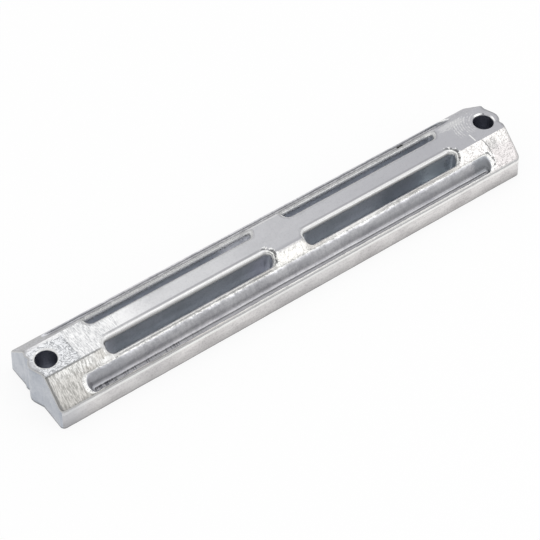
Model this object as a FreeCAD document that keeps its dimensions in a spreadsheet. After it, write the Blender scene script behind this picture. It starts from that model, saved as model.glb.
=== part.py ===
import FreeCAD, Part
import math
import os

import Sketcher

# Sacrificial anode: one cast bar with a flat underside, upright sides, two long slopes and a flat top.
# Millimetres, +Z up, +X along the bar, origin at the middle of the underside.

NODE = "anode_casting"

# Driving sizes in millimetres and degrees: name, value, meaning.
SIZES = [
    ("body_length", 220.0, "length of the underside between the flat parts of the end faces"),
    ("body_width", 36.6, "width of the underside"),
    ("body_height", 19.1, "underside to flat top"),
    ("side_height", 9.1, "height of the upright sides below the slopes"),
    ("top_width", 15.0, "width of the flat top at the ends of the bar"),
    ("draft_angle", 2.0, "lean of the ends and sides, so that the casting leaves its mould"),
    ("nose_reach", 2.2, "how far the pointed nose stands out of each end face"),
    ("nose_width", 11.0, "width of the nose where it meets the end face"),
    ("corner_radius", 1.8, "rounding of the four upright corners"),
    ("side_edge_radius", 0.5, "rounding of the long edges between slopes and upright sides"),
    ("hole_setback", 6.0, "distance from the end of the underside to the middle of a bolt hole"),
    ("hole_diameter", 8.2, "bolt hole"),
    ("hole_lead_in", 0.8, "bevel around the mouth of each bolt hole"),
    ("bridge_length", 13.6, "solid bridge between the two pockets of one side"),
    ("pocket_setback", 25.8, "distance from the end of the underside to the nearest pocket"),
    ("spine_width", 7.1, "flat top left between the pockets of the two sides"),
    ("pocket_lip", 1.4, "width and depth of the bevel around the mouth of a pocket"),
    ("pocket_floor", 7.0, "height of the pocket floors above the underside"),
    ("pocket_root_radius", 1.0, "rounding between pocket wall and pocket floor"),
    ("land_width", 1.2, "metal left between a pocket and the groove beside it"),
    ("groove_setback", 12.2, "distance from the end of the underside to the outline of the grooves"),
    ("groove_width", 5.1, "width of one lower groove, seen from above"),
    ("groove_rim", 0.8, "metal left between a groove and the foot of its slope"),
    ("groove_floor", 8.9, "height of the groove floors above the underside"),
    ("groove_slant", 27.0, "lean of the groove walls from upright"),
]

POCKET_LOCATIONS = [(1, 1), (-1, 1), (-1, -1), (1, -1)]


class Size:
    """A length or angle that knows its spreadsheet formula and its present value."""

    def __init__(self, formula, value):
        self.formula = formula
        self.value = value

    def combine(self, sign, other, value):
        text = other.formula if isinstance(other, Size) else str(other)
        return Size(f"({self.formula} {sign} {text})", value)

    def __add__(self, other):
        return self.combine("+", other, self.value + getattr(other, "value", other))

    def __sub__(self, other):
        return self.combine("-", other, self.value - other.value)

    def __mul__(self, other):
        return self.combine("*", other, self.value * getattr(other, "value", other))

    def __truediv__(self, other):
        return self.combine("/", other, self.value / getattr(other, "value", other))

    def tangent(self):
        """Return the tangent of an angle given in degrees."""
        return Size(f"tan({self.formula} * 1 deg)", math.tan(math.radians(self.value)))


def size(name):
    """Return the driving size with the given name."""
    for alias, value, _ in SIZES:
        if alias == name:
            return Size(f"Sizes.{alias}", value)
    raise KeyError(name)


def write_sizes(doc):
    """Write the driving sizes into a spreadsheet, one row each."""
    sheet = doc.addObject("Spreadsheet::Sheet", "Sizes")
    for row, (alias, value, meaning) in enumerate(SIZES, start=1):
        sheet.set(f"A{row}", alias)
        sheet.set(f"B{row}", str(value))
        sheet.set(f"C{row}", meaning)
        sheet.setAlias(f"B{row}", alias)
    doc.recompute()


def add_sketch(body, name, role, height=None):
    """Add a sketch on one of the body's origin planes, lifted along the plane's normal if asked."""
    planes = [feature for feature in body.Origin.OriginFeatures if feature.Role == role]
    sketch = body.newObject("Sketcher::SketchObject", name)
    sketch.AttachmentSupport = [(planes[0], "")]
    sketch.MapMode = "FlatFace"
    if height is not None:
        sketch.setExpression("AttachmentOffset.Base.z", height.formula)
    return sketch


def bind(sketch, kind, name, amount, *where):
    """Add a named size constraint and tie it to its formula."""
    sketch.addConstraint(Sketcher.Constraint(kind, *where, amount.value))
    sketch.renameConstraint(sketch.ConstraintCount - 1, name)
    sketch.setExpression(f"Constraints.{name}", amount.formula)


def pin_point(sketch, name, geometry, end, x, y):
    """Hold a point of the sketch at a position; None keeps it on that axis."""
    if x is None:
        sketch.addConstraint(Sketcher.Constraint("PointOnObject", geometry, end, -2))
    else:
        bind(sketch, "DistanceX", f"{name}_x", x, -1, 1, geometry, end)
    if y is None:
        sketch.addConstraint(Sketcher.Constraint("PointOnObject", geometry, end, -1))
    else:
        bind(sketch, "DistanceY", f"{name}_y", y, -1, 1, geometry, end)


def add_polygon(sketch, name, corners):
    """Draw a closed polygon through the given (x, y) corners."""
    points = [FreeCAD.Vector(x.value if x else 0, y.value if y else 0, 0) for x, y in corners]
    first = sketch.GeometryCount
    count = len(corners)
    for index in range(count):
        sketch.addGeometry(Part.LineSegment(points[index], points[(index + 1) % count]), False)
    for index in range(count):
        following = first + (index + 1) % count
        sketch.addConstraint(Sketcher.Constraint("Coincident", first + index, 2, following, 1))
    for index, (x, y) in enumerate(corners):
        pin_point(sketch, f"{name}{index}", first + index, 1, x, y)


def add_slot(sketch, name, low_x, high_x, centre_y, radius):
    """Draw a slot along X: two half circles joined by two straight sides."""
    first = sketch.GeometryCount
    y, r = centre_y.value, radius.value
    up = FreeCAD.Vector(0, 0, 1)
    quarter = math.pi / 2
    high_circle = Part.Circle(FreeCAD.Vector(high_x.value, y, 0), up, r)
    low_circle = Part.Circle(FreeCAD.Vector(low_x.value, y, 0), up, r)
    high_side = [FreeCAD.Vector(x.value, y + r, 0) for x in (high_x, low_x)]
    low_side = [FreeCAD.Vector(x.value, y - r, 0) for x in (low_x, high_x)]
    sketch.addGeometry(Part.ArcOfCircle(high_circle, -quarter, quarter), False)
    sketch.addGeometry(Part.LineSegment(*high_side), False)
    sketch.addGeometry(Part.ArcOfCircle(low_circle, quarter, 3 * quarter), False)
    sketch.addGeometry(Part.LineSegment(*low_side), False)
    for step in range(4):
        following = first + (step + 1) % 4
        sketch.addConstraint(Sketcher.Constraint("Tangent", first + step, 2, following, 1))
    bind(sketch, "Radius", f"{name}_radius", radius, first)
    pin_point(sketch, f"{name}_high", first, 3, high_x, centre_y)
    bind(sketch, "DistanceX", f"{name}_low_x", low_x, -1, 1, first + 2, 3)


def settle(doc, feature, before, adds):
    """Recompute, and stop if the feature failed or left the body's volume as it was."""
    doc.recompute()
    if "Invalid" in feature.State or "Error" in feature.State:
        raise RuntimeError(f"{feature.Label} is not valid: {feature.State}")
    after = feature.Shape.Volume
    changed = after > before + 1e-3 if adds else after < before - 1e-3
    if not changed:
        raise RuntimeError(f"{feature.Label} changed nothing: {before:.2f} to {after:.2f}")
    print(f"{feature.Label}: {after:.1f} cubic millimetres, {len(feature.Shape.Faces)} faces")
    return after


def outline_corners():
    """Return the corners of the underside's outline, with the pointed nose at each end."""
    half_length = size("body_length") / 2
    half_width = size("body_width") / 2
    half_nose = size("nose_width") / 2
    tip = half_length + size("nose_reach")
    right = [
        (half_length, half_width * -1),
        (half_length, half_nose * -1),
        (tip, None),
        (half_length, half_nose),
        (half_length, half_width),
    ]
    left = [(x * -1, y) for x, y in reversed(right)]
    return right + left


def foot_of_slope():
    """Return the distance from the middle plane to the lower edge of a slope."""
    return size("body_width") / 2 - size("side_height") * size("draft_angle").tangent()


def groove_inner_edge():
    """Return the distance from the middle plane to the inner wall of a groove."""
    return foot_of_slope() - size("groove_rim") - size("groove_width")


def slope_fall():
    """Return how far a slope drops for each millimetre outward."""
    return (size("body_height") - size("side_height")) / (foot_of_slope() - size("top_width") / 2)


def groove_top():
    """Return the height of a slope where it meets the inner wall of a groove."""
    return size("body_height") - (groove_inner_edge() - size("top_width") / 2) * slope_fall()


def pocket_width():
    """Return the width of a pocket's mouth, from the spine to the land beside the groove."""
    return groove_inner_edge() - size("land_width") - size("spine_width") / 2


def slope_corners(side):
    """Return the corners of the waste above one slope, seen along the bar."""
    crest = size("top_width") / 2
    top = size("body_height")
    outside = size("body_width")
    clear = top + size("side_height")
    low = top - (outside - crest) * slope_fall()
    return [(outside * side, low), (outside * side, clear), (crest * side, clear), (crest * side, top)]


def add_pad(body, name, sketch, length, draft):
    """Pad a sketch upward with walls that lean inward."""
    pad = body.newObject("PartDesign::Pad", name)
    pad.Profile = sketch
    pad.setExpression("Length", length.formula)
    pad.setExpression("TaperAngle", (draft * -1).formula)
    return pad


def add_pocket(body, name, sketch, depth, draft=None):
    """Cut a sketch downward to a depth, with walls that lean inward if a draft is given."""
    pocket = body.newObject("PartDesign::Pocket", name)
    pocket.Profile = sketch
    pocket.setExpression("Length", depth.formula)
    if draft is not None:
        pocket.setExpression("TaperAngle", (draft * -1).formula)
    return pocket


def add_cut_through(body, name, sketch):
    """Cut a sketch through the whole body, both ways from its plane."""
    pocket = body.newObject("PartDesign::Pocket", name)
    pocket.Profile = sketch
    pocket.Type = "ThroughAll"
    pocket.Midplane = True
    return pocket


def add_fillet(body, name, base, edges, radius):
    """Round the named edges of a feature."""
    fillet = body.newObject("PartDesign::Fillet", name)
    fillet.Base = (base, edges)
    fillet.setExpression("Radius", radius.formula)
    return fillet


def add_bevel(body, name, base, edges, width):
    """Bevel the named edges of a feature at 45 degrees."""
    bevel = body.newObject("PartDesign::Chamfer", name)
    bevel.Base = (base, edges)
    bevel.setExpression("Size", width.formula)
    return bevel


def edge_names(shape, wanted):
    """Return the names of the edges for which the given test holds."""
    return [f"Edge{index}" for index, edge in enumerate(shape.Edges, start=1) if wanted(edge)]


def runs_along_x(edge):
    """Tell whether an edge is a straight line along the bar."""
    box = edge.BoundBox
    return box.XLength > 1.0 and box.YLength < 0.01 and box.ZLength < 0.01


def is_corner(edge):
    """Tell whether an edge is one of the four upright corners of the bar."""
    box = edge.BoundBox
    far_out = abs(box.Center.x) > size("body_length").value * 0.45
    wide_out = abs(box.Center.y) > foot_of_slope().value * 0.9
    return far_out and wide_out and box.ZMin < 1e-6 and box.ZMax > size("side_height").value * 0.9


def is_side_edge(edge):
    """Tell whether an edge is the long line between a slope and an upright side."""
    box = edge.BoundBox
    at_foot = abs(box.Center.z - size("side_height").value) < 0.3
    return runs_along_x(edge) and at_foot and box.XLength > size("body_length").value * 0.9


def is_hole_mouth(edge):
    """Tell whether an edge is the upper rim of a bolt hole."""
    round_edge = isinstance(edge.Curve, Part.Circle)
    return (
        round_edge
        and abs(edge.Curve.Radius - size("hole_diameter").value / 2) < 1e-6
        and abs(edge.BoundBox.Center.z - size("body_height").value) < 1e-6
    )


def is_pocket_root(edge):
    """Tell whether an edge lies on a pocket's floor."""
    box = edge.BoundBox
    return abs(box.ZMin - size("pocket_floor").value) < 1e-6 and box.ZLength < 1e-6


def draw_pockets(sketch, radius, centre_y):
    """Draw the four pocket outlines, with their rounded ends inside the mouth length."""
    mouth_radius = pocket_width() / 2
    near = size("bridge_length") / 2 + mouth_radius
    far = size("body_length") / 2 - size("pocket_setback") - mouth_radius
    for x_sign, y_sign in POCKET_LOCATIONS:
        low, high = (near, far) if x_sign > 0 else (far * -1, near * -1)
        name = f"p{x_sign + 1}{y_sign + 1}"
        add_slot(sketch, name, low, high, centre_y * y_sign, radius)


def build_body(doc):
    """Build the cast bar and return its body."""
    body = doc.addObject("PartDesign::Body", NODE)
    body.Label = NODE
    draft = size("draft_angle")
    top = size("body_height")

    # Drafted block with the pointed noses.
    outline = add_sketch(body, "outline", "XY_Plane")
    add_polygon(outline, "corner", outline_corners())
    feature = add_pad(body, "block", outline, top, draft)
    volume = settle(doc, feature, 0.0, adds=True)

    # Upright corners are rounded.
    corners = edge_names(feature.Shape, is_corner)
    feature = add_fillet(body, "rounded_corners", feature, corners, size("corner_radius"))
    volume = settle(doc, feature, volume, adds=False)

    # Two long slopes leave the flat top.
    slopes = add_sketch(body, "slopes", "YZ_Plane")
    for side in (1, -1):
        add_polygon(slopes, f"side{side + 1}_", slope_corners(side))
    feature = add_cut_through(body, "slope_cut", slopes)
    volume = settle(doc, feature, volume, adds=False)

    # The long edges between slopes and sides are slightly rounded.
    edges = edge_names(feature.Shape, is_side_edge)
    feature = add_fillet(body, "rounded_side_edges", feature, edges, size("side_edge_radius"))
    volume = settle(doc, feature, volume, adds=False)

    # Lower grooves with leaning walls, drawn at the height where the inner wall meets the slope.
    slant = size("groove_slant")
    groove_radius = size("groove_width") * (slope_fall() * slant.tangent() + 1) / 2
    groove_reach = size("body_length") / 2 - size("groove_setback") - groove_radius
    groove_middle = groove_inner_edge() + groove_radius
    grooves = add_sketch(body, "grooves", "XY_Plane", groove_top())
    for side in (1, -1):
        middle = groove_middle * side
        add_slot(grooves, f"g{side + 1}", groove_reach * -1, groove_reach, middle, groove_radius)
    feature = add_pocket(body, "groove_cut", grooves, groove_top() - size("groove_floor"), slant)
    volume = settle(doc, feature, volume, adds=False)

    # Deep pockets: the bevel around the mouth first, then the well.
    mouth_radius = pocket_width() / 2
    middle = size("spine_width") / 2 + mouth_radius
    mouths = add_sketch(body, "pocket_mouths", "XY_Plane", top)
    draw_pockets(mouths, mouth_radius, middle)
    bevel = Size("45", 45.0)
    feature = add_pocket(body, "pocket_bevels", mouths, size("pocket_lip"), bevel)
    volume = settle(doc, feature, volume, adds=False)
    wells = add_sketch(body, "pocket_wells", "XY_Plane", top)
    draw_pockets(wells, mouth_radius - size("pocket_lip") / 2, middle + size("pocket_lip") / 2)
    feature = add_pocket(body, "pocket_cut", wells, top - size("pocket_floor"), draft)
    volume = settle(doc, feature, volume, adds=False)
    edges = edge_names(feature.Shape, is_pocket_root)
    feature = add_fillet(body, "pocket_roots", feature, edges, size("pocket_root_radius"))
    volume = settle(doc, feature, volume, adds=True)

    # Bolt holes with a small bevel around the mouth.
    diameter = size("hole_diameter")
    holes = add_sketch(body, "bolt_holes", "XY_Plane", top)
    for side in (1, -1):
        x = (size("body_length") / 2 - size("hole_setback")) * side
        index = holes.GeometryCount
        centre = FreeCAD.Vector(x.value, 0, 0)
        circle = Part.Circle(centre, FreeCAD.Vector(0, 0, 1), diameter.value / 2)
        holes.addGeometry(circle, False)
        bind(holes, "Diameter", f"hole{side + 1}", diameter, index)
        pin_point(holes, f"centre{side + 1}", index, 3, x, None)
    feature = add_cut_through(body, "hole_cut", holes)
    volume = settle(doc, feature, volume, adds=False)
    edges = edge_names(feature.Shape, is_hole_mouth)
    feature = add_bevel(body, "hole_lead_ins", feature, edges, size("hole_lead_in"))
    volume = settle(doc, feature, volume, adds=False)

    body.Tip = feature
    doc.recompute()
    return body


def main():
    """Build the part and write its one STEP file."""
    os.makedirs("parts", exist_ok=True)
    doc = FreeCAD.newDocument("sacrificial_anode")
    write_sizes(doc)
    body = build_body(doc)
    body.Placement = FreeCAD.Placement(FreeCAD.Vector(0, 0, 0), FreeCAD.Rotation())
    doc.recompute()
    broken = [item.Label for item in doc.Objects if "Invalid" in item.State or "Error" in item.State]
    if broken:
        raise RuntimeError(f"these objects are not valid: {broken}")
    shape = body.Shape
    if shape.isNull() or not shape.isValid() or len(shape.Solids) != 1:
        raise RuntimeError(f"{NODE} is not one valid solid")
    shape.exportStep(f"parts/{NODE}.step")
    box = shape.optimalBoundingBox(False, False)
    print(f"{NODE}: {box.XLength:.2f} x {box.YLength:.2f} x {box.ZLength:.2f} mm")
    print(f"{NODE}: volume {shape.Volume:.0f} cubic millimetres")


main()
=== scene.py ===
"""Dresses the cast bar anode: one bar of pale metal with pockets, grooves and two bolt holes."""
import logging
import math
import random
from collections.abc import Callable
from dataclasses import dataclass, field
from enum import Enum

import bmesh
import bpy
import numpy as np
from mathutils import Matrix, Vector, geometry, kdtree, noise


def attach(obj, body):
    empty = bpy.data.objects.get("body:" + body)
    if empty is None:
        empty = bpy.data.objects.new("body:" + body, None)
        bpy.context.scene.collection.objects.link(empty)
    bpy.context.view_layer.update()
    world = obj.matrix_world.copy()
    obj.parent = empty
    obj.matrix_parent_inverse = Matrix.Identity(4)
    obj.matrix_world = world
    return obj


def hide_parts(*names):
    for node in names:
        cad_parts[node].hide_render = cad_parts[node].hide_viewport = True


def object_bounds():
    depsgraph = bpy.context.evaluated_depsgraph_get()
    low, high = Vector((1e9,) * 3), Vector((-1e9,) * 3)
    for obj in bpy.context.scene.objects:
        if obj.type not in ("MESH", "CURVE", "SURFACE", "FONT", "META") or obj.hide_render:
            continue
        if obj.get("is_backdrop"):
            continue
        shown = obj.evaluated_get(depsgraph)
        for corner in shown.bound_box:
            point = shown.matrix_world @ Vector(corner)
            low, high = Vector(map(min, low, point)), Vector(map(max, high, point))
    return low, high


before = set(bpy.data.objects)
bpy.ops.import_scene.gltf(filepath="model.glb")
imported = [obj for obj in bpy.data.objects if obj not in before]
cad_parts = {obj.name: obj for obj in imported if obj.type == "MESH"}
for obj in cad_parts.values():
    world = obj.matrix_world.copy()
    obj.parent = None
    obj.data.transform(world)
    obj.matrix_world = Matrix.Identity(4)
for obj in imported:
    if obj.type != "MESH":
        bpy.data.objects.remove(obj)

LOG = logging.getLogger("anode")
MM = 0.001
QUARTER = math.pi / 2
NODE = "anode_casting"
CAD_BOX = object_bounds()

Ring = np.ndarray
Place = tuple[float, float, float]
Colour = tuple[float, float, float]


class Zone(Enum):
    """The surfaces of the casting, each with its own finish and its painted light and shade, in the order of
    its material slots.
    """

    TOP, SLOPE, SIDE, END, LIP, POCKET, GROOVE, TROUGH, BORE, UNDERSIDE, RIM = range(11)


@dataclass(frozen=True)
class Swell:
    """Smooth seeded unevenness: its height, the length of one swell, and a seed. Millimetres."""

    height: float
    size: float
    seed: float

    def at(self, x: float, y: float, z: float = 0.0) -> float:
        """Return the unevenness at a point, about between minus its height and its height."""
        size, seed = self.size, self.seed
        return self.height * noise.noise(Vector((x / size + seed, y / size - seed, z / size + 0.37 * seed)))


@dataclass
class Section:
    """The bar's outer form: drafted sides and ends, two slopes and a flat top. Millimetres."""

    half_length: float = 110.0
    half_width: float = 18.3
    height: float = 19.1
    side_height: float = 9.1
    half_top: float = 7.5
    draft: float = math.tan(math.radians(2.0))
    nose_reach: float = 2.2
    nose_half: float = 5.5
    blunt: float = 0.3
    blunt_half: float = 0.8
    notch: float = 0.6
    notch_place: float = -3.8
    notch_half: float = 0.8
    corner_radius: float = 1.8
    sag: float = 0.35
    sag_reach: float = 92.0
    land_middle: float = 11.7
    land_half: float = 0.7
    land_reach: float = 97.0
    land_fade: float = 6.0
    land_crumble: float = 0.2
    waves: Swell = Swell(0.07, 17.0, 3.1)
    ripples: Swell = Swell(0.035, 5.0, 8.4)
    crumbs: Swell = Swell(1.0, 1.3, 71.0)

    @property
    def foot(self) -> float:
        """Distance from the middle plane to the lower edge of a slope."""
        return self.half_width - self.side_height * self.draft

    @property
    def fall(self) -> float:
        """Drop of a slope for each millimetre outward."""
        return (self.height - self.side_height) / (self.foot - self.half_top)

    def surface(self, x: float, y: float) -> float:
        """Return the height of the top or slope over a place along and across the bar, uneven as cast."""
        across = abs(y)
        level = self.height - max(0.0, across - self.half_top) * self.fall
        middle = max(0.0, 1.0 - (x / self.sag_reach) ** 4)
        dip = self.sag * middle * (1.0 - 0.6 * min(1.0, across / self.foot))
        swell = self.waves.at(x, y) + self.ripples.at(x, y)
        within = max(0.0, min(1.0, (self.land_reach - abs(x)) / self.land_fade))
        land = math.exp(-(((across - self.land_middle) / self.land_half) ** 2)) * within
        crumble = self.land_crumble * land * self.crumbs.at(x, 0.4 * y)
        return level - dip + crumble + swell * min(1.0, (self.foot - across) / 2.0 + 0.3)

    def end_reach(self, y: float, z: float) -> float:
        """Return how far the end face stands from the middle of the bar.

        Args:
            y: Place across the bar, counted to the left of someone who looks out over the end.
            z: Height.

        Returns:
            The distance along the bar.
        """
        across = abs(y)
        notch = self.notch * math.exp(-(((y - self.notch_place) / self.notch_half) ** 2))
        notch -= 0.8 * self.notch * math.exp(-(y - self.notch_place + 2.0) ** 2)
        nose = self.nose_reach * max(0.0, 1.0 - across / self.nose_half)
        blunt = self.blunt * math.exp(-((across / self.blunt_half) ** 2))
        corner_start = self.half_width - self.corner_radius
        over = max(0.0, min(1.0, (across - corner_start) / self.corner_radius))
        corner = self.corner_radius * (1.0 - math.sqrt(1.0 - over * over))
        return self.half_length - z * self.draft + nose - notch - blunt - corner


def encloses(ring: Ring, x: float, y: float) -> bool:
    """Tell whether a closed outline in plan goes around a place."""
    after = np.roll(ring, -1, axis=0)
    crosses = (ring[:, 1] > y) != (after[:, 1] > y)
    start, end = ring[crosses], after[crosses]
    reach = start[:, 0] + (y - start[:, 1]) / (end[:, 1] - start[:, 1]) * (end[:, 0] - start[:, 0])
    return bool(np.count_nonzero(reach > x) % 2)


def circle_ring(x: float, radius: float, count: int) -> Ring:
    """Return points in plan around a hole on the bar's middle line."""
    angles = np.arange(count) * 2 * math.pi / count
    return np.column_stack([x + radius * np.cos(angles), radius * np.sin(angles)])


class Sheet:
    """Collects the vertices and faces of one closed mesh, with a finish for each face."""

    def __init__(self) -> None:
        """Start with nothing in the mesh."""
        self.points: list[Vector] = []
        self.faces: list[tuple[int, ...]] = []
        self.zones: list[int] = []
        self.tones: list[float] = []

    def add_ring(self, points: Ring, tones: Ring | None = None) -> list[int]:
        """Add points in millimetres, each with its painted light and shade, and return their indices."""
        first = len(self.points)
        self.points.extend(Vector(point) * MM for point in points)
        self.tones.extend([1.0] * len(points) if tones is None else tones.tolist())
        return list(range(first, len(self.points)))

    def join_rings(self, upper: list[int], lower: list[int], zones: list[Zone]) -> None:
        """Close the gap between two rings with four-sided faces, of one finish or each of its own."""
        count = len(upper)
        for here in range(count):
            after = (here + 1) % count
            self.add_face((upper[here], lower[here], lower[after], upper[after]), zones[here % len(zones)])

    def add_face(self, corners: tuple[int, ...], zone: Zone) -> None:
        """Add one face with its finish."""
        self.faces.append(corners)
        self.zones.append(zone.value)

    def build(self, name: str, crisp: float) -> bpy.types.Object:
        """Turn the collected faces into an object of the scene.

        Args:
            name: Name of the new object.
            crisp: Edges sharper than this angle in degrees stay crisp in the shading.

        Returns:
            The new object.
        """
        mesh = bpy.data.meshes.new(name)
        mesh.from_pydata([tuple(point) for point in self.points], [], self.faces)
        mesh.polygons.foreach_set("material_index", self.zones)
        # Each point's painted light and shade, by which the materials darken their colour.
        mesh.attributes.new("painted_light", "FLOAT", "POINT").data.foreach_set("value", self.tones)
        working = bmesh.new()
        working.from_mesh(mesh)
        bmesh.ops.recalc_face_normals(working, faces=working.faces)
        for edge in working.edges:
            edge.smooth = edge.calc_face_angle(0.0) < math.radians(crisp)
        for face in working.faces:
            face.smooth = True
        open_edges = sum(1 for edge in working.edges if not edge.is_manifold)
        working.to_mesh(mesh)
        working.free()
        LOG.info("%s: %d faces, %d open edges", name, len(mesh.polygons), open_edges)
        piece = bpy.data.objects.new(name, mesh)
        bpy.context.scene.collection.objects.link(piece)
        return piece


class Patch:
    """A triangulated stretch of surface between outlines, laid out in plan."""

    least_area = 1e-5
    closeness = 1e-7

    def __init__(self) -> None:
        """Start with an empty plan."""
        self.indices: list[int] = []
        self.plan: list[tuple[float, float]] = []
        self.links: list[tuple[int, int]] = []

    def add_points(self, vertices: list[int], plan: Ring) -> None:
        """Add loose points: mesh vertices and their places in plan."""
        self.indices.extend(vertices)
        self.plan.extend((float(x), float(y)) for x, y in plan[:, :2])

    def add_row(self, vertices: list[int], plan: Ring, closed: bool) -> None:
        """Add a row of points that triangle edges must follow; a closed row ends where it starts."""
        first, last = len(self.plan), len(self.plan) + len(vertices) - 1
        self.add_points(vertices, plan)
        self.links.extend((here, here + 1) for here in range(first, last))
        if closed:
            self.links.append((last, first))

    def triangles(self) -> list[tuple[tuple[int, ...], float, float]]:
        """Return the triangles over the plan: mesh vertices and the middle's place."""
        places = [Vector(place) for place in self.plan]
        result = geometry.delaunay_2d_cdt(places, self.links, [], 0, self.closeness, True)
        origin = [source[0] if source else -1 for source in result[3]]
        found = []
        for face in result[2]:
            corners = [origin[corner] for corner in face]
            if min(corners) < 0:
                continue
            (ax, ay), (bx, by), (cx, cy) = (self.plan[corner] for corner in corners)
            if abs((bx - ax) * (cy - ay) - (cx - ax) * (by - ay)) < self.least_area:
                continue
            place = (ax + bx + cx) / 3.0, (ay + by + cy) / 3.0
            found.append((tuple(self.indices[corner] for corner in corners), *place))
        return found


@dataclass(frozen=True)
class Tones:
    """The painted light and shade of one ring of a hollow's wall on its four sides."""

    inner: float = 1.0
    outer: float = 1.0
    low_end: float = 1.0
    high_end: float = 1.0

    def around(self, ways: Ring, side: int) -> Ring:
        """Return the painted light and shade at each point of a ring, from the way outward there and the side
        of the bar.
        """
        along, across = ways[:, 0], ways[:, 1] * side
        flank = np.where(across > 0, self.outer, self.inner)
        end = np.where(along > 0, self.high_end, self.low_end)
        return flank * across ** 2 + end * along ** 2


@dataclass(frozen=True)
class Step:
    """One ring down the wall of a recess. Depths are shares of the way to the floor."""

    down: float
    outer_down: float
    inner: float
    outer: float
    ends: float
    zone: Zone
    # The ring's painted light and shade, and how much painted highlight streaks down from the burr over it.
    tones: Tones = Tones()
    highlight_spill: float = 0.0


@dataclass
class Recess:
    """A slot-shaped hollow: its mouth in plan and how its wall steps in and down. Millimetres."""

    low: float
    high: float
    inner: float
    outer: float
    side: int
    floor: float
    steps: list[Step]
    seed: float
    spacing: float = 0.9
    ragged: float = 0.06
    jagged: float = 0.0
    torn: float = 0.22
    drift: float = 0.0
    arc_steps: int = 22
    torn_reach: float = 4.0
    burr_reach: float = 2.2
    burr_runs: tuple[tuple[float, float], ...] = ((-50.0, 40.0), (40.0, 22.0))

    def ring(self, step: Step) -> tuple[Ring, Ring]:
        """Lay one ring of the wall in plan.

        Args:
            step: How far the ring lies inside the mouth.

        Returns:
            The ring's points, and the way outward at each.
        """
        near, far = self.inner + step.inner, self.outer - step.outer
        radius = (far - near) / 2.0
        low, high = self.low + step.ends + radius, self.high - step.ends - radius
        count = max(2, round((self.high - self.low - (self.outer - self.inner)) / self.spacing))
        turn = math.pi * np.arange(self.arc_steps) / self.arc_steps
        flat, run = np.full(count, QUARTER), (high - low) * np.arange(count) / count
        angles = np.concatenate([turn - QUARTER, flat, turn + QUARTER, -flat])
        ends = np.ones(self.arc_steps)
        along = np.concatenate([ends * high, high - run, ends * low, low + run])
        ways = np.column_stack([np.cos(angles), np.sin(angles)])
        plan = np.column_stack([along, np.full(len(along), (far + near) / 2.0)]) + ways * radius
        flip = np.array([1.0, self.side])
        return plan * flip, ways * flip

    def dig(self, sheet: Sheet, patch: Patch, section: Section) -> None:
        """Add the recess's walls and floor to the mesh, and its mouth to the plan.

        Args:
            sheet: The mesh.
            patch: Plan of the surface around the mouth.
            section: The bar's outer form, which gives the height of the mouth.
        """
        tears, jags, waves = (
            Swell(1.0, size, self.seed + shift) for size, shift in ((1.2, 0.0), (2.3, 3.0), (6.0, 5.0)))
        heights = np.array([section.surface(x, y) for x, y in self.ring(self.steps[0])[0]])
        above: list[int] = []
        for step in self.steps:
            plan, ways = self.ring(step)
            outside = np.clip(2.0 * ways[:, 1] * self.side, 0.0, 1.0)
            share = step.down + (step.outer_down - step.down) * outside
            calm = (1.0 - step.down) ** 4
            wander = np.array([
                (self.ragged + self.tear(x)) * calm * tears.at(x, y, 9.0 * step.down)
                + self.jagged * calm * jags.at(x, y, 5.0 * step.down)
                + self.ragged * waves.at(x, y, 6.0 * step.down)
                for x, y in plan
            ])
            wander -= self.drift * share * np.clip(0.4 + plan[:, 0] / 50.0, 0.0, 1.0)
            level = heights + (self.floor - heights) * share
            runs = np.array([self.burr_highlight_streaks(x, y, 40.0 * step.down) for x, y in plan])
            # Painted light and shade of the ring, brightened by painted highlight streaks from the burr.
            tones = np.minimum(1.0, step.tones.around(ways, self.side) + step.highlight_spill * runs)
            ring = sheet.add_ring(np.column_stack([plan + ways * wander[:, None], level]), tones)
            if above:
                # Near the high end of a near-side pocket the lip takes the burred rim's near-white colour:
                # painted highlight on the torn rim.
                burred = step.zone is Zone.LIP and self.side < 0
                zones = [Zone.RIM if burred and x > self.high - self.burr_reach else step.zone for x, _ in plan]
                sheet.join_rings(above, ring, zones)
            else:
                patch.add_row(ring, plan, True)
            above = ring
        floor = Patch()
        floor.add_row(above, plan, True)
        for corners, _, _ in floor.triangles():
            sheet.add_face(corners, step.zone)

    def burr_highlight_streaks(self, x: float, y: float, down: float) -> float:
        """Return how much painted highlight streaks down from the burr at a place of the rim, at a depth below
        it.
        """
        thick = max(math.exp(-(((x - middle) / half) ** 4)) for middle, half in self.burr_runs)
        fine = Swell(0.75, 1.1, self.seed + 9.0).at(x, y, down)
        broad = Swell(0.6, 3.6, self.seed + 15.0).at(x, 0.0)
        return max(0.0, 0.15 + fine + broad) * (0.45 + 0.55 * thick)

    def tear(self, x: float) -> float:
        """Return how torn the rim is; it is roughest at the end of larger X."""
        return self.torn * max(0.0, 1.0 - (self.high - x) / self.torn_reach)

    def holds(self, x: float, y: float) -> bool:
        """Tell whether a place in plan lies inside the mouth."""
        radius = (self.outer - self.inner) / 2.0
        along = min(max(x, self.low + radius), self.high - radius)
        return math.hypot(x - along, y * self.side - (self.outer + self.inner) / 2.0) < radius


def lip_tones(*sides: tuple[float, ...]) -> tuple[Tones, ...]:
    """Return a pocket lip's painted light and shade, ring by ring, from those of the inner and outer side and
    the two ends.
    """
    return tuple(Tones(*ring) for ring in zip(*sides))


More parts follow.
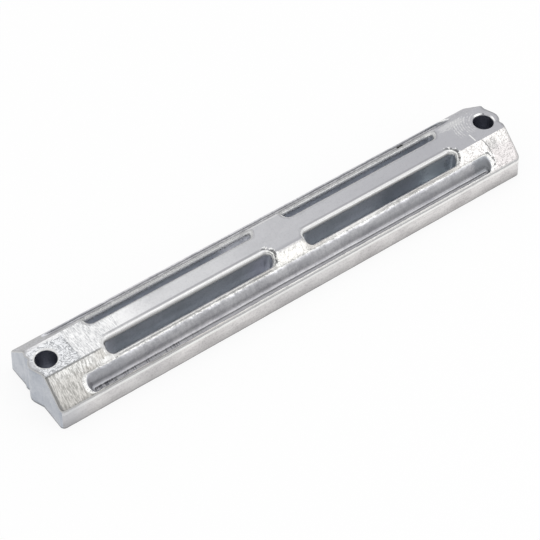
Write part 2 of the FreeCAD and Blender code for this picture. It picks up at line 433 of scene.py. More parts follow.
# Painted highlight and painted shade on the lips of the near and far pockets: one row each for the inner side,
# the outer side, the low end and the high end, one column for each ring from the mouth down.
NEAR_LIP = lip_tones(
    (0.90, 1.00, 1.00, 0.76, 0.56, 0.46, 0.50, 0.80),
    (0.72, 0.84, 0.95, 1.00, 1.00, 0.95, 0.90, 0.85),
    (0.80, 1.00, 1.00, 0.90, 0.54, 0.44, 0.48, 0.80),
    (0.25, 0.90, 1.00, 0.25, 0.90, 1.00, 0.40, 0.85),
)
FAR_LIP = lip_tones(
    (0.85, 0.60, 0.50, 0.45, 0.42, 0.42, 0.45, 0.70),
    (0.50, 0.54, 0.60, 0.72, 0.90, 1.00, 0.95, 0.80),
    (0.62, 0.90, 0.88, 0.70, 0.54, 0.44, 0.48, 0.80),
    (0.62, 0.70, 0.80, 0.90, 0.90, 0.80, 0.70, 0.80),
)


@dataclass
class PocketWall:
    """How a deep pocket's wall runs from its rounded lip to its floor. Millimetres."""

    depth: float
    outer_depth: float
    lip_inner: float = 1.45
    lip_outer: float = 1.0
    lip_ends: float = 1.2
    lip_down: float = 1.6
    outer_lip_down: float = 1.9
    start_angle: float = 16.0
    lean: float = 0.035
    root: float = 1.0
    lip_tones: tuple[Tones, ...] = NEAR_LIP
    wall_steps: int = 6
    root_steps: int = 4

    def steps(self) -> list[Step]:
        """Return the rings of the wall from the mouth down."""
        start = math.radians(self.start_angle)
        last = len(self.lip_tones) - 1
        found = []
        for part, tones in enumerate(self.lip_tones):
            angle = start + (QUARTER - start) * part / last
            inward = (math.sin(angle) - math.sin(start)) / (1.0 - math.sin(start))
            down = (math.cos(start) - math.cos(angle)) / math.cos(start)
            found.append(Step(
                down * self.lip_down / self.depth, down * self.outer_lip_down / self.outer_depth,
                inward * self.lip_inner, inward * self.lip_outer, inward * self.lip_ends, Zone.LIP, tones))
        found += [self.lower_step((part + 1) / self.wall_steps, 0.0) for part in range(self.wall_steps)]
        for part in range(self.root_steps):
            angle = QUARTER * (part + 1) / self.root_steps
            found.append(self.lower_step(1.0, self.root * (1.0 - math.cos(angle)), math.sin(angle)))
        return found

    def lower_step(self, way: float, inward: float, sunk: float = 0.0) -> Step:
        """Return one ring below the lip.

        Args:
            way: Share of the way from the lip to the rounding at the floor.
            inward: How far the ring lies inside the wall's foot.
            sunk: Share of the way down the rounding.

        Returns:
            The ring.
        """
        shares = []
        for depth, lip in ((self.depth, self.lip_down), (self.outer_depth, self.outer_lip_down)):
            top, bottom = lip / depth, 1.0 - self.root / depth
            shares.append(top + (bottom - top) * way + sunk * self.root / depth)
        inward += self.lean * way * (self.depth - self.lip_down - self.root)
        lips = self.lip_inner, self.lip_outer, self.lip_ends
        return Step(*shares, *(lip + inward for lip in lips), Zone.POCKET)


# Rings of a groove's wall from the burr down, one in each row: how far inward and down it lies, its painted
# light and shade on the inner side, the outer side and the two ends, and how much painted highlight streaks
# down from the burr over it.
GROOVE_BURR = (
    (-0.36, -0.05, 0.72, 0.90, 0.95, 0.90, 0.70),
    (-0.15, -0.09, 0.74, 0.90, 1.00, 1.00, 0.80),
    (0.00, -0.05, 0.74, 0.90, 1.00, 0.90, 0.80),
    (0.16, 0.10, 0.70, 0.80, 0.80, 0.80, 0.80),
)
GROOVE_SHOULDER = (
    (0.45, 0.38, 0.54, 0.52, 0.32, 0.50, 0.55),
    (0.80, 0.82, 0.49, 0.52, 0.26, 0.30, 0.25),
    (1.12, 1.35, 0.47, 0.52, 0.30, 0.26, 0.10),
    (1.40, 1.95, 0.46, 0.52, 0.36, 0.28, 0.0),
    (1.64, 2.60, 0.44, 0.52, 0.42, 0.34, 0.0),
    (1.85, 3.30, 0.42, 0.52, 0.46, 0.42, 0.0),
    (2.02, 3.95, 0.41, 0.52, 0.50, 0.36, 0.0),
    (2.18, 4.45, 0.40, 0.52, 0.50, 0.28, 0.0),
    (2.42, 4.83, 0.42, 0.52, 0.45, 0.26, 0.0),
    (2.72, 5.02, 0.56, 0.52, 0.40, 0.40, 0.0),
    (3.05, 5.17, 0.68, 0.52, 0.45, 0.40, 0.0),
)
GROOVE_TROUGH = (
    (3.18, 5.37, 0.85, 0.60, 0.60, 0.60, 0.0),
    (3.26, 5.65, 0.72, 0.70, 0.60, 0.50, 0.0),
    (3.38, 5.83, 0.85, 0.90, 0.60, 0.50, 0.0),
)


@dataclass
class GrooveWall:
    """How a lower groove's wall runs: a rounded shoulder, a narrow ledge and a dark trough. Millimetres."""

    depth: float = 5.83
    steep: float = 0.45
    end_share: float = 0.75
    burr: float = 0.5
    end_burr: float = 1.3
    outer_burr: float = 0.12
    far_tone: float = 0.55

    def steps(self, burr_zone: Zone) -> list[Step]:
        """Return the rings of the wall from the mouth down, with this finish for the burr around it."""
        # The far groove's burr rings are darkened by far_tone: painted shade on the far side.
        bright = 1.0 if burr_zone is Zone.RIM else self.far_tone
        found = [Step(0.0, 0.0, 0.0, 0.0, 0.0, burr_zone, Tones(0.78 * bright, 0.9, 0.95, 0.9), 0.4 * bright)]
        for zone, shade, rows in (
            (burr_zone, bright, GROOVE_BURR),
            (Zone.GROOVE, 1.0, GROOVE_SHOULDER),
            (Zone.TROUGH, 1.0, GROOVE_TROUGH),
        ):
            for inward, down, inner, outer, low_end, high_end, highlight_spill in rows:
                share, above = down / self.depth, min(0.0, inward)
                found.append(Step(
                    share, share, self.burr + inward,
                    self.outer_burr * (1.0 + above) + self.steep * min(1.0, 2.5 * max(0.0, share)),
                    self.end_burr * (1.0 + above / self.burr) + self.end_share * max(0.0, inward),
                    zone, Tones(inner * shade, outer, low_end, high_end), highlight_spill * shade))
        return found


@dataclass
class CastBar:
    """The anode bar as one closed casting. Millimetres."""

    section: Section = field(default_factory=Section)
    spacing: float = 1.0
    shake: float = 0.12
    bridge_half: float = 6.8
    pocket_end: float = 84.2
    spine_half: float = 3.55
    pocket_outer: float = 10.88
    pocket_floor: float = 7.0
    groove_end: float = 96.2
    groove_inner: float = 12.08
    groove_outer: float = 17.18
    groove_floor: float = 8.9
    hole_place: float = 104.0
    hole_radius: float = 4.1
    hole_sides: int = 56
    lead_in: float = 0.8
    lead_down: float = 0.9
    lead_steps: int = 5
    edge: float = 0.35
    edge_steps: int = 4
    # Painted shade on the rounded upper edge of the outer wall and at its foot by the floor.
    edge_tone: float = 0.64
    foot_tone: float = 0.4
    foot_edge: float = 0.2
    end_share: float = 0.96
    end_level_place: float = 107.5
    crisp: float = 38.0
    seed: int = 7
    skin_waves: Swell = Swell(0.06, 9.0, 21.0)
    skin_ripples: Swell = Swell(0.03, 2.6, 33.0)
    wear: Swell = Swell(0.6, 2.2, 44.0)
    bore_waves: Swell = Swell(0.010, 2.0, 61.0)
    bore_ripples: Swell = Swell(0.006, 0.8, 65.0)

    @property
    def mouth(self) -> float:
        """Radius of a bolt hole's bevelled mouth."""
        return self.hole_radius + self.lead_in

    def recesses(self) -> list[Recess]:
        """Return the four pockets and the two grooves."""
        section = self.section
        rim = section.height - (self.pocket_outer - section.half_top) * section.fall
        depths = section.height - self.pocket_floor, rim - self.pocket_floor
        near = PocketWall(*depths, lip_outer=1.38)
        far = PocketWall(*depths, 1.0, 1.35, lip_down=1.2, outer_lip_down=1.7, lip_tones=FAR_LIP)
        groove = GrooveWall()
        reach = self.groove_end + groove.end_burr
        found: list[Recess] = []
        for side, wall, ragged, burr_zone, unevenness in (
            (1, far, 0.02, Zone.GROOVE, (0.03, 0.0, 0.12, 0.0)),
            (-1, near, 0.06, Zone.RIM, (0.1, 0.12, 0.12, 0.25)),
        ):
            for low, high in ((self.bridge_half, self.pocket_end), (-self.pocket_end, -self.bridge_half)):
                found.append(Recess(
                    low, high, self.spine_half, self.pocket_outer, side, self.pocket_floor,
                    wall.steps(), 1.0 + 2.3 * len(found), ragged=ragged))
            found.append(Recess(
                -reach, reach, self.groove_inner - groove.burr, self.groove_outer + groove.outer_burr, side,
                self.groove_floor, groove.steps(burr_zone), 1.0 + 2.3 * len(found), 0.6, *unevenness))
        return found

    def across_values(self) -> list[float]:
        """Return places across an end face from -1 to 1, closest together at the nose and the corners."""
        nose = [0.0, 0.012, 0.03, 0.055, 0.09, 0.13, 0.155, 0.18, 0.205, 0.23, 0.255, 0.28, 0.3, 0.32]
        flat = [0.35 + 0.05 * step for step in range(11)]
        corner = [0.88, 0.91, 0.935, 0.955, 0.972, 0.985, 0.995, 1.0]
        half = nose + flat + corner
        return [-value for value in reversed(half[1:])] + half

    def outline(self) -> list[tuple[float, float, int]]:
        """Return the outline as rows of place along, place across from -1 to 1, and end or 0 for a side."""
        values = self.across_values()
        reach = self.section.half_length - self.section.corner_radius
        count = round(2 * reach / self.spacing)
        inner = range(1, count)
        right = [(0.0, value, 1) for value in values]
        upper = [(reach - 2 * reach * step / count, 1.0, 0) for step in inner]
        left = [(0.0, value, -1) for value in reversed(values)]
        lower = [(-reach + 2 * reach * step / count, -1.0, 0) for step in inner]
        return right + upper + left + lower

    def skin_place(self, spot: tuple[float, float, int], share: float) -> tuple[float, float, float]:
        """Return a point on the outer wall.

        Args:
            spot: A place of the outline.
            share: 0 at the underside, 1 at the upper edge of the wall.

        Returns:
            The point.
        """
        along, across, end = spot
        section = self.section
        wide = section.half_width + (section.foot - section.half_width) * share
        height = share * section.surface(end * self.end_level_place if end else along, across * section.foot)
        if end:
            return end * section.end_reach(end * across * section.half_width, height), across * wide, height
        lean = 1.0 - section.draft * height / (section.half_length - section.corner_radius)
        return along * lean, across * wide, height

    def skin_rings(self) -> tuple[list[Ring], list[Ring], list[list[Zone]]]:
        """Return the rings of the outer wall from the upper edge to the underside.

        Returns:
            The rings, their plans without unevenness, and the finish of the faces above each ring.
        """
        spots = self.outline()
        zones = [Zone.END if end and abs(across) < self.end_share else Zone.SIDE for _, across, end in spots]
        rings: list[Ring] = []
        plans: list[Ring] = []
        turns = [QUARTER * part / self.edge_steps for part in range(self.edge_steps + 1)]
        levels = [(self.edge * (1 - math.sin(turn)), self.edge * (1 - math.cos(turn)), 1.0) for turn in turns]
        levels += [(0.0, self.edge * (10 - part) / 10.0, 1.0 - part / 10.0) for part in range(1, 10)]
        levels += [(0.0, 0.0, 0.02), (self.foot_edge, 0.0, 0.0)]
        for inset, drop, share in levels:
            place = np.array([self.skin_place(spot, share) for spot in spots])
            along = np.roll(place, -1, axis=0) - np.roll(place, 1, axis=0)
            away = np.column_stack([along[:, 1], -along[:, 0]])
            away /= np.linalg.norm(away, axis=1)[:, None]
            swell = np.array([self.skin_waves.at(*point) + self.skin_ripples.at(*point) for point in place])
            plan = place[:, :2] - away * inset
            level = place[:, 2] - drop
            if share == 1.0:
                worn = np.array([1.0 + self.wear.at(x, y) for x, y in plan])
                level = np.array([self.section.surface(x, y) for x, y in plan]) - drop * worn
            plans.append(plan)
            rings.append(np.column_stack([plan + away * swell[:, None], level]))
        rounded = [[Zone.LIP]] * len(turns)
        return rings, plans, rounded + [zones] * (len(rings) - len(turns))

    def loose_points(self, taken: list[tuple[float, float]], border: Ring, hollows: list[Recess]) -> Ring:
        """Scatter points over the plan of the top and slopes, clear of the points already there.

        Args:
            taken: Plan points that are already there.
            border: Outline that the points lie inside.
            hollows: The pockets and grooves.

        Returns:
            The new plan points.
        """
        tree = kdtree.KDTree(len(taken))
        for index, (x, y) in enumerate(taken):
            tree.insert((x, y, 0.0), index)
        tree.balance()
        chance = random.Random(self.seed)
        found = []
        reach, width = self.section.half_length + 2.0, self.section.foot
        row_spacing = self.spacing * 0.87
        for column in range(round(2 * reach / self.spacing)):
            for row in range(round(2 * width / row_spacing)):
                x = -reach + (column + 0.5 * (row % 2)) * self.spacing + chance.uniform(-self.shake, self.shake)
                y = -width + row * row_spacing + chance.uniform(-self.shake, self.shake)
                crowded = tree.find((x, y, 0.0))[2] < self.spacing * 0.6
                if not crowded and self.on_top(x, y, hollows) and encloses(border, x, y):
                    found.append((x, y))
        return np.array(found)

    def on_top(self, x: float, y: float, hollows: list[Recess]) -> bool:
        """Tell whether a place in plan is metal of the top or slopes, clear of hollows and holes."""
        if math.hypot(abs(x) - self.hole_place, y) < self.mouth:
            return False
        return not any(hollow.holds(x, y) for hollow in hollows)

    def drill(self, sheet: Sheet, side: int) -> tuple[list[int], list[int]]:
        """Add one bolt hole.

        Args:
            sheet: The mesh.
            side: Which end of the bar.

        Returns:
            The rings at the top and at the underside.
        """
        rings: list[list[int]] = []
        middle = side * self.hole_place
        for radius, down in self.bore_levels():
            points = []
            for x, y in circle_ring(middle, radius, self.hole_sides):
                top = self.section.surface(x, y) if down < 2.0 else self.section.height
                level = top - down
                wander = 1.0 + self.bore_waves.at(x, y, level) + self.bore_ripples.at(x, y, level)
                points.append((middle + (x - middle) * wander, y * wander, max(0.0, level)))
            ring = sheet.add_ring(np.array(points))
            if rings:
                sheet.join_rings(rings[-1], ring, [Zone.LIP if len(rings) < self.lead_steps else Zone.BORE])
            rings.append(ring)
        return rings[0], rings[-1]

    def bore_levels(self) -> list[tuple[float, float]]:
        """Return the rings of a bolt hole as radius and depth below the top."""
        turns = [QUARTER * part / self.lead_steps for part in range(self.lead_steps + 1)]
        found = [(self.mouth - self.lead_in * math.sin(turn), self.lead_down * (1 - math.cos(turn)))
                 for turn in turns]
        found += [(self.hole_radius, 2.4 + 2.0 * part) for part in range(9)]
        return found + [(self.hole_radius, self.section.height)]

    def build(self) -> bpy.types.Object:
        """Build the whole casting and return it."""
        sheet, patch, under = Sheet(), Patch(), Patch()
        rings, plans, zones = self.skin_rings()
        above: list[int] = []
        plain = len(rings) - self.edge_steps - 2
        # Painted shade: the rounded upper edge is darkened by edge_tone, the foot by the floor by foot_tone.
        tones = [self.edge_tone] * self.edge_steps + [1.0] * plain + [self.foot_tone] * 2
        for ring_points, ring_zones, painted_light in zip(rings, zones, tones):
            ring = sheet.add_ring(ring_points, np.full(len(ring_points), painted_light))
            if above:
                sheet.join_rings(above, ring, ring_zones)
            else:
                patch.add_row(ring, plans[0], True)
            above = ring
        under.add_row(above, plans[-1], True)
        for side in (1, -1):
            upper, lower = self.drill(sheet, side)
            middle = np.array([side * self.hole_place, 0.0])
            around = circle_ring(side * self.hole_place, 1.0, self.hole_sides) - middle
            patch.add_row(upper, middle + around * self.mouth, True)
            under.add_row(lower, middle + around * self.hole_radius, True)
        hollows = self.recesses()
        for hollow in hollows:
            hollow.dig(sheet, patch, self.section)
        for row in self.crest_rows():
            patch.add_row(self.lay(sheet, row), row, False)
        loose = self.loose_points(patch.plan, plans[0], hollows)
        patch.add_points(self.lay(sheet, loose), loose)
        for corners, x, y in patch.triangles():
            if encloses(plans[0], x, y) and self.on_top(x, y, hollows):
                sheet.add_face(corners, Zone.TOP if abs(y) < self.section.half_top else Zone.SLOPE)
        for corners, x, y in under.triangles():
            drilled = math.hypot(abs(x) - self.hole_place, y) < self.hole_radius
            if encloses(plans[-1], x, y) and not drilled:
                sheet.add_face(corners, Zone.UNDERSIDE)
        return sheet.build("anode_bar", self.crisp)

    def lay(self, sheet: Sheet, plan: Ring) -> list[int]:
        """Add plan points to the mesh at the height of the bar's surface."""
        return sheet.add_ring(np.array([(x, y, self.section.surface(x, y)) for x, y in plan]))

    def crest_rows(self) -> list[Ring]:
        """Return the rows of points along the edges of the flat top, between the pockets."""
        step = 0.7
        reach = self.section.half_length - self.section.height * self.section.draft - 1.0
        spans = [(self.pocket_end + step, reach), (-self.bridge_half + step, self.bridge_half - step),
                 (-reach, -self.pocket_end - step)]
        rows = []
        for low, high in spans:
            along = np.linspace(low, high, round((high - low) / step))
            for side in (1, -1):
                rows.append(np.column_stack([along, np.full_like(along, side * self.section.half_top)]))
        return rows


FULL_TURN = 6.283
PIT_DEPTH, VEIN_DEPTH, BRUSH_DEPTH, STREAK_DEPTH = 0.12, 0.1, 0.09, 0.05
Span = tuple[float, float, float]  # a stretch of one axis: its middle, half its length, and its soft ends


def operation(kind: str, swapped: bool = False) -> Callable[..., "Value"]:
    """Return a method that adds a Math node; swapped puts the other number first."""
    def method(self: "Value", other: "Value | float" = 0.0) -> "Value":
        """Work out the new value."""
        first, second = (other, self) if swapped else (self, other)
        return self.graph.maths(kind, first, second)

    return method


class Value:
    """A number that changes over the surface. Arithmetic on it adds Math nodes to its material."""

    __add__, __radd__ = operation("ADD"), operation("ADD", True)
    __sub__, __rsub__ = operation("SUBTRACT"), operation("SUBTRACT", True)
    __mul__, __rmul__ = operation("MULTIPLY"), operation("MULTIPLY", True)
    __abs__, root, wave = operation("ABSOLUTE"), operation("SQRT"), operation("SINE")
    least, most = operation("MINIMUM"), operation("MAXIMUM")

    def __init__(self, graph: "Graph", socket: bpy.types.NodeSocket) -> None:
        """Wrap an output socket of a material's node."""
        self.graph = graph
        self.socket = socket

    def rise(self, low: float, high: float) -> "Value":
        """Go smoothly from 0 at low to 1 at high, which may lie below low."""
        sockets = {"Value": self, "From Min": low, "From Max": high}
        return self.graph.value("ShaderNodeMapRange", {"interpolation_type": "SMOOTHSTEP"}, sockets)

    def within(self, span: Span) -> "Value":
        """Be 1 within a span and fall to 0 over its soft ends."""
        middle, half, soft = span
        return abs(self - middle).rise(half + soft, half)


class Graph:
    """Adds nodes to one material."""

    def __init__(self, name: str) -> None:
        """Start an empty material of this name."""
        self.material = bpy.data.materials.new(name)
        self.material.use_nodes = True
        self.tree = self.material.node_tree
        self.tree.nodes.clear()
        place = self.node("ShaderNodeTexCoord", {}, {}).outputs["Object"]
        self.place = self.vector("MULTIPLY", place, (1000.0, 1000.0, 1000.0))
        parts = self.node("ShaderNodeSeparateXYZ", {}, {"Vector": self.place})
        self.x, self.y, self.z = (Value(self, parts.outputs[axis]) for axis in "XYZ")

    def node(self, kind: str, settings: dict, inputs: dict) -> bpy.types.Node:
        """Add any node.

        Args:
            kind: The node's type.
            settings: Its own settings, set before its inputs.
            inputs: Values or links for its sockets, by name or number.

        Returns:
            The new node.
        """
        added = self.tree.nodes.new(kind)
        for name, setting in settings.items():
            setattr(added, name, setting)
        for name, given in inputs.items():
            source = given.socket if isinstance(given, Value) else given
            if isinstance(source, bpy.types.NodeSocket):
                self.tree.links.new(source, added.inputs[name])
            else:
                added.inputs[name].default_value = source
        return added

    def value(self, kind: str, settings: dict, inputs: dict, output: int | str = 0) -> Value:
        """Add a node and return one of its outputs as a value."""
        return Value(self, self.node(kind, settings, inputs).outputs[output])

    def maths(self, operation: str, first: Value | float, second: Value | float) -> Value:
        """Add a Math node."""
        return self.value("ShaderNodeMath", {"operation": operation}, {0: first, 1: second})

    def vector(self, operation: str, first: object, second: object) -> bpy.types.NodeSocket:
        """Add a Vector Math node and return its vector."""
        return self.node("ShaderNodeVectorMath", {"operation": operation}, {0: first, 1: second}).outputs[0]

    def attribute(self, name: str) -> Value:
        """Read a number that the mesh carries at its points."""
        return self.value("ShaderNodeAttribute", {"attribute_name": name}, {}, "Fac")

    def noise(self, size: Place | float, seed: float, detail: float = 2.0, curl: float = 0.0) -> Value:
        """Add noise between about 0 and 1.

        Args:
            size: Length in millimetres of one swell, for all axes or for each.
            seed: Offset that makes one noise differ from another.
            detail: How many finer layers it has.
            curl: How much its swells are twisted.

        Returns:
            The noise.
        """
        sizes = size if isinstance(size, tuple) else (size, size, size)
        scaled = self.vector("MULTIPLY", self.place, tuple(1.0 / length for length in sizes))
        moved = self.vector("ADD", scaled, (seed, -seed, 2.0 * seed))
        return self.value(
            "ShaderNodeTexNoise", {"noise_dimensions": "3D"},
            {"Vector": moved, "Scale": 1.0, "Detail": detail, "Roughness": 0.55, "Distortion": curl},
        )

    def blend(self, amount: Value, first: object, second: object) -> bpy.types.NodeSocket:
        """Mix two colours, or links to them: an amount of 0 gives the first, 1 the second."""
        colours = [(*colour, 1.0) if isinstance(colour, tuple) else colour for colour in (first, second)]
        sockets = {0: amount, 6: colours[0], 7: colours[1]}
        return self.node("ShaderNodeMix", {"data_type": "RGBA"}, sockets).outputs[2]

    def close(self, shader: bpy.types.NodeSocket) -> bpy.types.Material:
        """End the material with a shader."""
        self.node("ShaderNodeOutputMaterial", {}, {"Surface": shader})
        return self.material


@dataclass(frozen=True)
class Mark:
    """A place where a surface takes another colour, for a mark of the metal itself or for painted light and
    shade. Millimetres.
    """

    colour: Colour
    amount: float
    along: Span
    across: Span | None = None
    ragged: float = 1.0
    up: Span | None = None
    veins: float = 0.0

    def cover(self, graph: Graph, grain: Value) -> Value:
        """Return how strongly the mark shows, from 0 to 1, its border made ragged by the grain."""
        wander = (grain - 0.5) * (2.0 * self.ragged)
        cover = (graph.x + wander).within(self.along)
        for axis, span in ((graph.y, self.across), (graph.z, self.up)):
            if span:
                cover = cover * (axis + wander).within(span)
        return cover * self.amount


@dataclass(frozen=True)
class Arc:
    """A mark along part of a circle, of the metal itself or of painted light and shade. Millimetres."""

    colour: Colour
    amount: float
    x: float
    y: float
    squeeze: float
    radius: Span
    across: Span
    ripple: float = 0.0
    ragged: float = 0.1
    beads: float = 0.0
    veins: float = 0.0

    def cover(self, graph: Graph, grain: Value) -> Value:
        """Return how strongly the arc shows, from 0 to 1, its border made ragged by the grain."""
        along = graph.x - self.x
        across = (graph.y - self.y) * (1.0 / self.squeeze)
        reach = (along * along + across * across).root() + (grain - 0.5) * (2.0 * self.ragged)
        cover = reach.within(self.radius)
        if self.ripple:
            speckle = graph.noise(1.1, 25.0).rise(0.38, 0.6)
            cover = cover * (reach * (FULL_TURN / self.ripple)).wave().rise(-0.8, 0.8) * speckle
        if self.beads:
            cover = cover * graph.noise(1.3, self.beads, 1.0).rise(0.46, 0.51)
        ahead = along.rise(-1.0, 1.0) if self.squeeze < 1.0 else along.rise(1.0, -1.0)
        return cover * graph.y.within(self.across) * ahead * self.amount


@dataclass(frozen=True)
class Brush:
    """Fine marks that run across the bar. Millimetres."""

    strength: float
    width: float
    length: float
    zone: Span


@dataclass(frozen=True)
class CastFinishAndPaintedLight:
    """One surface of the pale cast metal, with its painted light and shade."""

    name: str
    colour: Colour
    dull: Colour
    metallic: float = 0.85
    roughness: float = 0.34
    mottle: float = 0.4
    grain: float = 0.010
    swell: float = 0.03
    pits: float = 0.0
    pit_size: float = 1.3
    brushes: tuple[Brush, ...] = ()
    streak: float = 0.0
    marks: tuple[Mark | Arc, ...] = ()
    coarse: tuple[Span, ...] = ()
    # Share of the colour kept at the floor; below 1 the colour darkens towards the floor as painted shade.
    foot: float = 1.0

    def build(self) -> bpy.types.Material:
        """Build the material and return it."""
        graph = Graph(self.name)
        clouds = graph.noise((11.0, 6.0, 6.0), 1.7, 3.0)
        grain = graph.noise(0.8, 5.1, 3.0)
        fine = graph.noise(0.35, 9.4, 1.0)
        strength = grain * 0.0 + 1.0  # 1 everywhere, and more where the metal is coarse
        for span in self.coarse:
            strength = strength + 2.5 * graph.x.within(span)
        shade = (clouds.rise(0.35, 0.7) * 0.6 + grain.rise(0.47, 0.66) * strength * 0.4) * self.mottle
        colour = graph.blend(shade.least(1.0), self.colour, self.dull)
        height = (grain * 2.0 + fine) * strength * self.grain + clouds * self.swell
        rough = self.roughness + (grain - 0.5) * 0.12 + (clouds - 0.5) * 0.1
        if self.streak:
            lines = graph.noise((22.0, 0.6, 0.6), 7.9)
            height = height + lines * self.streak * STREAK_DEPTH
            colour = graph.blend(lines.rise(0.5, 0.8) * self.streak * 0.5, colour, self.dull)
        if self.pits:
            spots = graph.noise(self.pit_size, 12.6, curl=1.2).rise(0.59, 0.635) * (strength * 0.3).least(1.0)
            height = height - spots * self.pits * PIT_DEPTH
            colour = graph.blend(spots * self.pits, colour, self.dull)
        for mark in self.marks:
            cover = mark.cover(graph, grain)
            colour = graph.blend(cover, colour, mark.colour)
            if mark.veins:
                veins = abs(graph.noise(2.1, 17.2, curl=1.5) - 0.5).rise(0.05, 0.02) * cover
                height = height - veins * VEIN_DEPTH
                colour = graph.blend(veins * mark.veins, colour, self.dull)
        for brush in self.brushes:
            lines = graph.noise((brush.width, brush.length, brush.length), 3.3, 3.0)
            zone = graph.x.within(brush.zone) * brush.strength
            height = height + lines * zone * BRUSH_DEPTH
            colour = graph.blend(lines.rise(0.515, 0.59) * zone, colour, self.dull)
        # Painted shade: the colour darkens towards the floor.
        if self.foot < 1.0:
            colour = graph.blend(graph.z.rise(7.0, 0.0) * (1.0 - self.foot), colour, BLACK)
        # Painted light and shade: the colour is darkened by the painted tone that each point of the mesh
        # carries.
        colour = graph.blend(graph.attribute("painted_light"), BLACK, colour)
        bump = graph.node("ShaderNodeBump", {}, {"Strength": 1.0, "Distance": MM, "Height": height})
        shader = graph.node(
            "ShaderNodeBsdfPrincipled", {},
            {"Base Color": colour, "Metallic": self.metallic, "Roughness": rough, "Normal": bump.outputs[0]},
        )
        return graph.close(shader.outputs[0])


BLACK = (0, 0, 0)
WHITE = (0.98, 0.98, 0.97)
PALE = (0.85, 0.85, 0.84)
DARK = (0.16, 0.165, 0.17)
NEAR_END = (-106, 22, 16)
FAR_END = (100, 14, 4)
BRIDGE = (0, 7.5, 3)
ALL_LONG = (0, 95, 4)
# White and dark arcs around the high ends of the near pockets and the near groove: painted highlight and
# painted shade on the burred rims.
BURR_HIGHLIGHTS_AND_SHADE = tuple(
    Arc(colour, 0.85, x, y, 0.999, (radius + out, 0.55, 0.25), (y + 0.7, radius, 1), 0, 1.5, beads)
    for x, y, radius in ((-10.465, -7.215, 3.7), (80.535, -7.215, 3.7), (94.64, -14.44, 2.6))
    for colour, out, beads in ((WHITE, 0.8, 31), (DARK, 0.5, 47))
)
# White crescent around the low end of the near-side pocket at negative X: a painted highlight on its rim.
POCKET_END_HIGHLIGHT = Arc(WHITE, 0.7, -80.5, -7.215, 1, (4, 0.35, 0.35), (-8.5, 3, 1.5), 0, 1.2)
CHIP = Mark(WHITE, 1, (97, 1.2, 0.5), (15.8, 1.7, 0.5), 0.3)
NICK = Mark(BLACK, 0.95, (70.3, 1.3, 0.4), (12.5, 1.2, 0.4), 0.3, (14.5, 1, 0.5))
